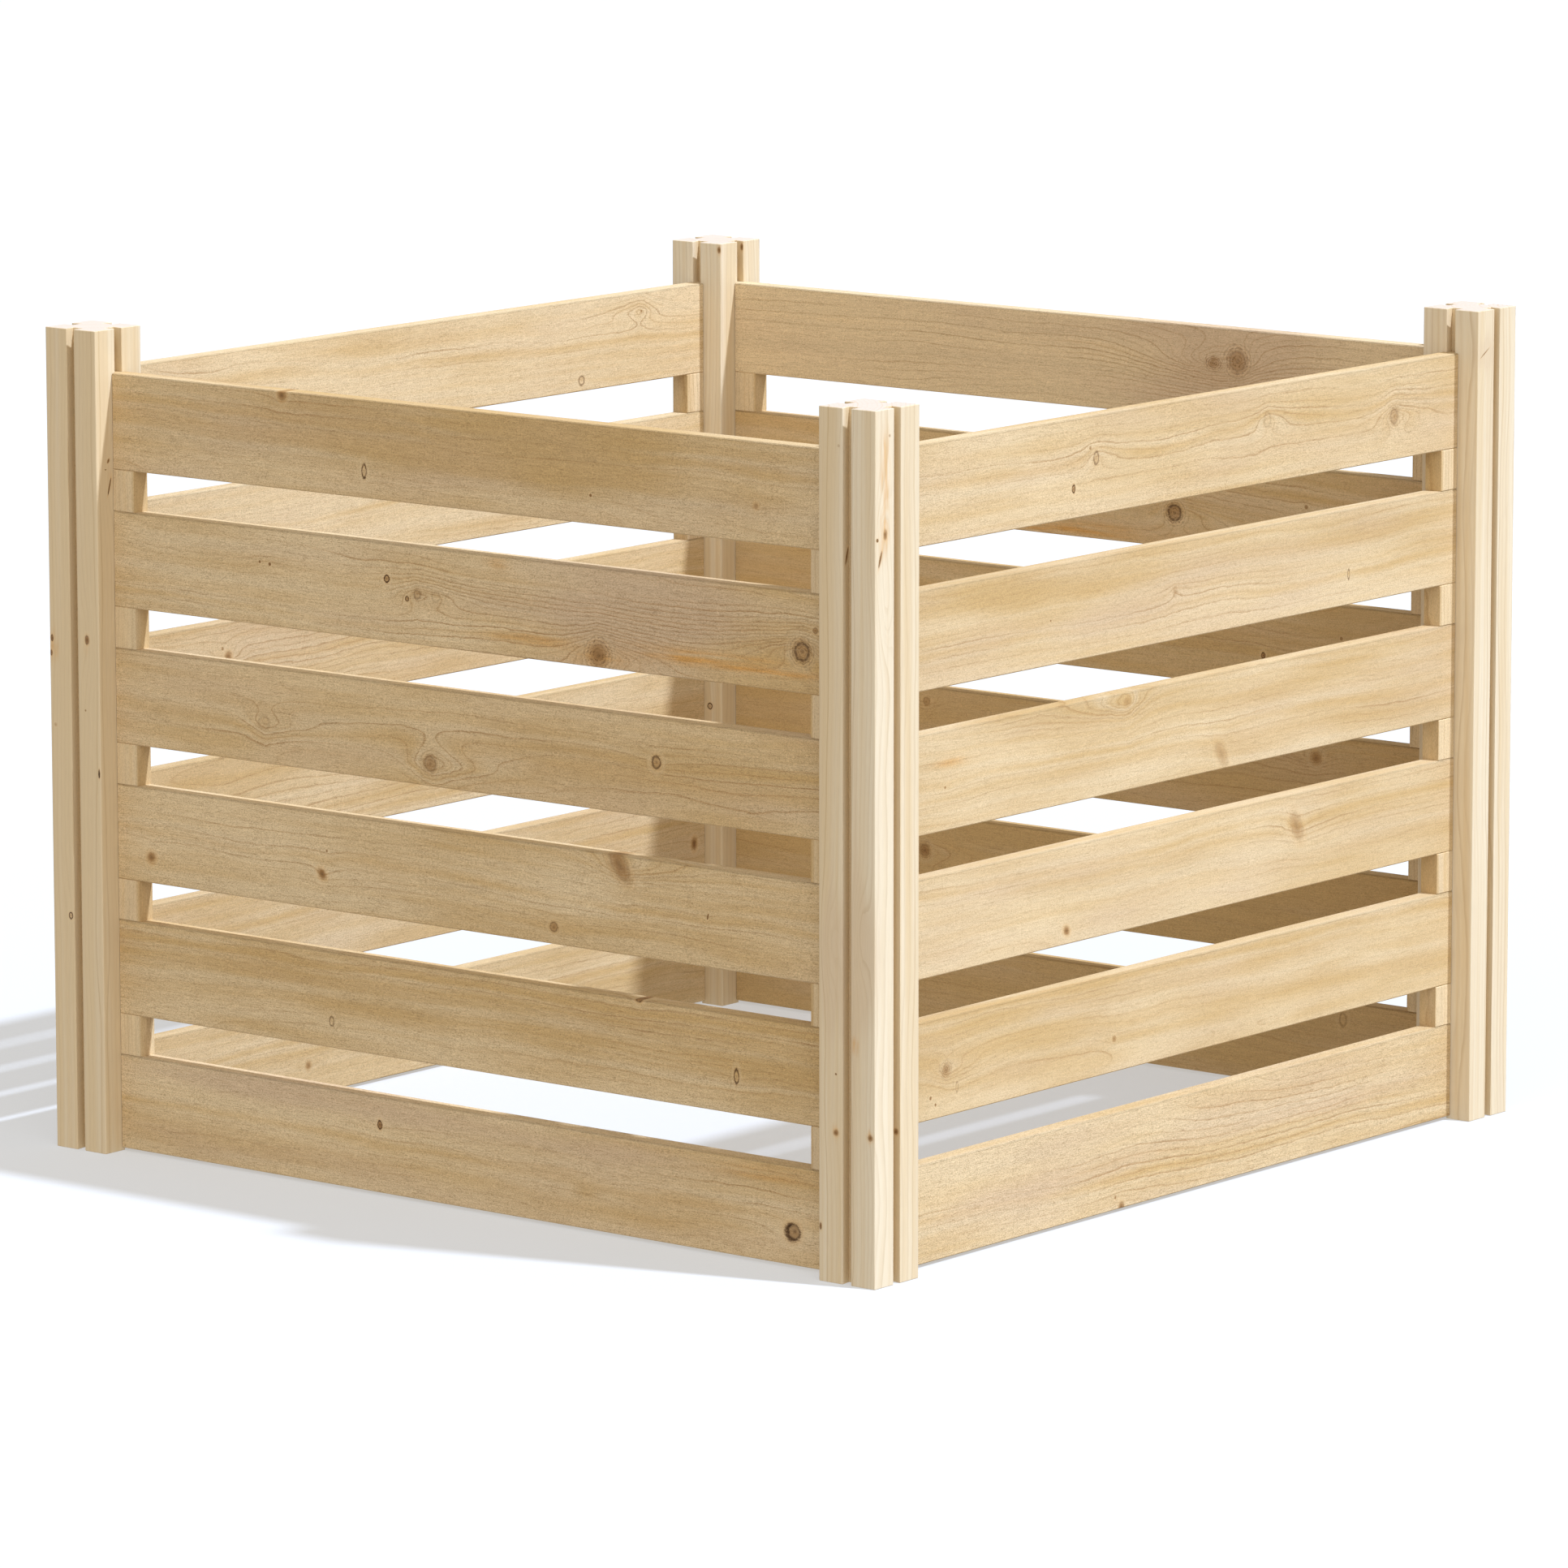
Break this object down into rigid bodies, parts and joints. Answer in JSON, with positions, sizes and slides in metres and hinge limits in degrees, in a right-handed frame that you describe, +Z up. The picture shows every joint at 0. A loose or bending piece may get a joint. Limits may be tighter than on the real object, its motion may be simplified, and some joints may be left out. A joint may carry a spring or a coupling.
{
  "type": "compost bin",
  "caption": "Square slatted wooden compost bin, open at top and bottom; spaced boards with dovetailed ends slide down into grooved corner posts.",
  "frame": {"origin": "on the ground, in the middle of the bin's square plan", "axes": "+Z up, along the posts; the front wall faces -Y and the right wall faces +X"},
  "size_m": [0.97, 0.97, 0.769],
  "materials": {
    "planed_post": "planed softwood, bare",
    "sawn_board": "rough sawn softwood, bare",
    "spacer_block": "sawn softwood, bare"
  },
  "bodies": {
    "posts": {"post_front_left": "planed_post", "post_front_right": "planed_post", "post_back_right": "planed_post", "post_back_left": "planed_post"},
    "front_course_1": {"board_front_1": "sawn_board", "spacers_front_1": "spacer_block"},
    "front_course_2": {"board_front_2": "sawn_board", "spacers_front_2": "spacer_block"},
    "front_course_3": {"board_front_3": "sawn_board", "spacers_front_3": "spacer_block"},
    "front_course_4": {"board_front_4": "sawn_board", "spacers_front_4": "spacer_block"},
    "front_course_5": {"board_front_5": "sawn_board", "spacers_front_5": "spacer_block"},
    "front_course_6": {"board_front_6": "sawn_board"},
    "right_course_1": {"board_right_1": "sawn_board", "spacers_right_1": "spacer_block"},
    "right_course_2": {"board_right_2": "sawn_board", "spacers_right_2": "spacer_block"},
    "right_course_3": {"board_right_3": "sawn_board", "spacers_right_3": "spacer_block"},
    "right_course_4": {"board_right_4": "sawn_board", "spacers_right_4": "spacer_block"},
    "right_course_5": {"board_right_5": "sawn_board", "spacers_right_5": "spacer_block"},
    "right_course_6": {"board_right_6": "sawn_board"},
    "back_course_1": {"board_back_1": "sawn_board", "spacers_back_1": "spacer_block"},
    "back_course_2": {"board_back_2": "sawn_board", "spacers_back_2": "spacer_block"},
    "back_course_3": {"board_back_3": "sawn_board", "spacers_back_3": "spacer_block"},
    "back_course_4": {"board_back_4": "sawn_board", "spacers_back_4": "spacer_block"},
    "back_course_5": {"board_back_5": "sawn_board", "spacers_back_5": "spacer_block"},
    "back_course_6": {"board_back_6": "sawn_board"},
    "left_course_1": {"board_left_1": "sawn_board", "spacers_left_1": "spacer_block"},
    "left_course_2": {"board_left_2": "sawn_board", "spacers_left_2": "spacer_block"},
    "left_course_3": {"board_left_3": "sawn_board", "spacers_left_3": "spacer_block"},
    "left_course_4": {"board_left_4": "sawn_board", "spacers_left_4": "spacer_block"},
    "left_course_5": {"board_left_5": "sawn_board", "spacers_left_5": "spacer_block"},
    "left_course_6": {"board_left_6": "sawn_board"}
  },
  "joints": [
    {"name": "front_lift_1", "type": "slide", "parent": "posts", "child": "front_course_1", "axis": [0, 0, 1], "range_m": [0, 0.777]},
    {"name": "front_lift_2", "type": "slide", "parent": "front_course_1", "child": "front_course_2", "axis": [0, 0, 1], "range_m": [0, 0.6497]},
    {"name": "front_lift_3", "type": "slide", "parent": "front_course_2", "child": "front_course_3", "axis": [0, 0, 1], "range_m": [0, 0.5224]},
    {"name": "front_lift_4", "type": "slide", "parent": "front_course_3", "child": "front_course_4", "axis": [0, 0, 1], "range_m": [0, 0.3951]},
    {"name": "front_lift_5", "type": "slide", "parent": "front_course_4", "child": "front_course_5", "axis": [0, 0, 1], "range_m": [0, 0.2678]},
    {"name": "front_lift_6", "type": "slide", "parent": "front_course_5", "child": "front_course_6", "axis": [0, 0, 1], "range_m": [0, 0.1405]},
    {"name": "right_lift_1", "type": "slide", "parent": "posts", "child": "right_course_1", "axis": [0, 0, 1], "range_m": [0, 0.777]},
    {"name": "right_lift_2", "type": "slide", "parent": "right_course_1", "child": "right_course_2", "axis": [0, 0, 1], "range_m": [0, 0.6497]},
    {"name": "right_lift_3", "type": "slide", "parent": "right_course_2", "child": "right_course_3", "axis": [0, 0, 1], "range_m": [0, 0.5224]},
    {"name": "right_lift_4", "type": "slide", "parent": "right_course_3", "child": "right_course_4", "axis": [0, 0, 1], "range_m": [0, 0.3951]},
    {"name": "right_lift_5", "type": "slide", "parent": "right_course_4", "child": "right_course_5", "axis": [0, 0, 1], "range_m": [0, 0.2678]},
    {"name": "right_lift_6", "type": "slide", "parent": "right_course_5", "child": "right_course_6", "axis": [0, 0, 1], "range_m": [0, 0.1405]},
    {"name": "back_lift_1", "type": "slide", "parent": "posts", "child": "back_course_1", "axis": [0, 0, 1], "range_m": [0, 0.777]},
    {"name": "back_lift_2", "type": "slide", "parent": "back_course_1", "child": "back_course_2", "axis": [0, 0, 1], "range_m": [0, 0.6497]},
    {"name": "back_lift_3", "type": "slide", "parent": "back_course_2", "child": "back_course_3", "axis": [0, 0, 1], "range_m": [0, 0.5224]},
    {"name": "back_lift_4", "type": "slide", "parent": "back_course_3", "child": "back_course_4", "axis": [0, 0, 1], "range_m": [0, 0.3951]},
    {"name": "back_lift_5", "type": "slide", "parent": "back_course_4", "child": "back_course_5", "axis": [0, 0, 1], "range_m": [0, 0.2678]},
    {"name": "back_lift_6", "type": "slide", "parent": "back_course_5", "child": "back_course_6", "axis": [0, 0, 1], "range_m": [0, 0.1405]},
    {"name": "left_lift_1", "type": "slide", "parent": "posts", "child": "left_course_1", "axis": [0, 0, 1], "range_m": [0, 0.777]},
    {"name": "left_lift_2", "type": "slide", "parent": "left_course_1", "child": "left_course_2", "axis": [0, 0, 1], "range_m": [0, 0.6497]},
    {"name": "left_lift_3", "type": "slide", "parent": "left_course_2", "child": "left_course_3", "axis": [0, 0, 1], "range_m": [0, 0.5224]},
    {"name": "left_lift_4", "type": "slide", "parent": "left_course_3", "child": "left_course_4", "axis": [0, 0, 1], "range_m": [0, 0.3951]},
    {"name": "left_lift_5", "type": "slide", "parent": "left_course_4", "child": "left_course_5", "axis": [0, 0, 1], "range_m": [0, 0.2678]},
    {"name": "left_lift_6", "type": "slide", "parent": "left_course_5", "child": "left_course_6", "axis": [0, 0, 1], "range_m": [0, 0.1405]}
  ]
}
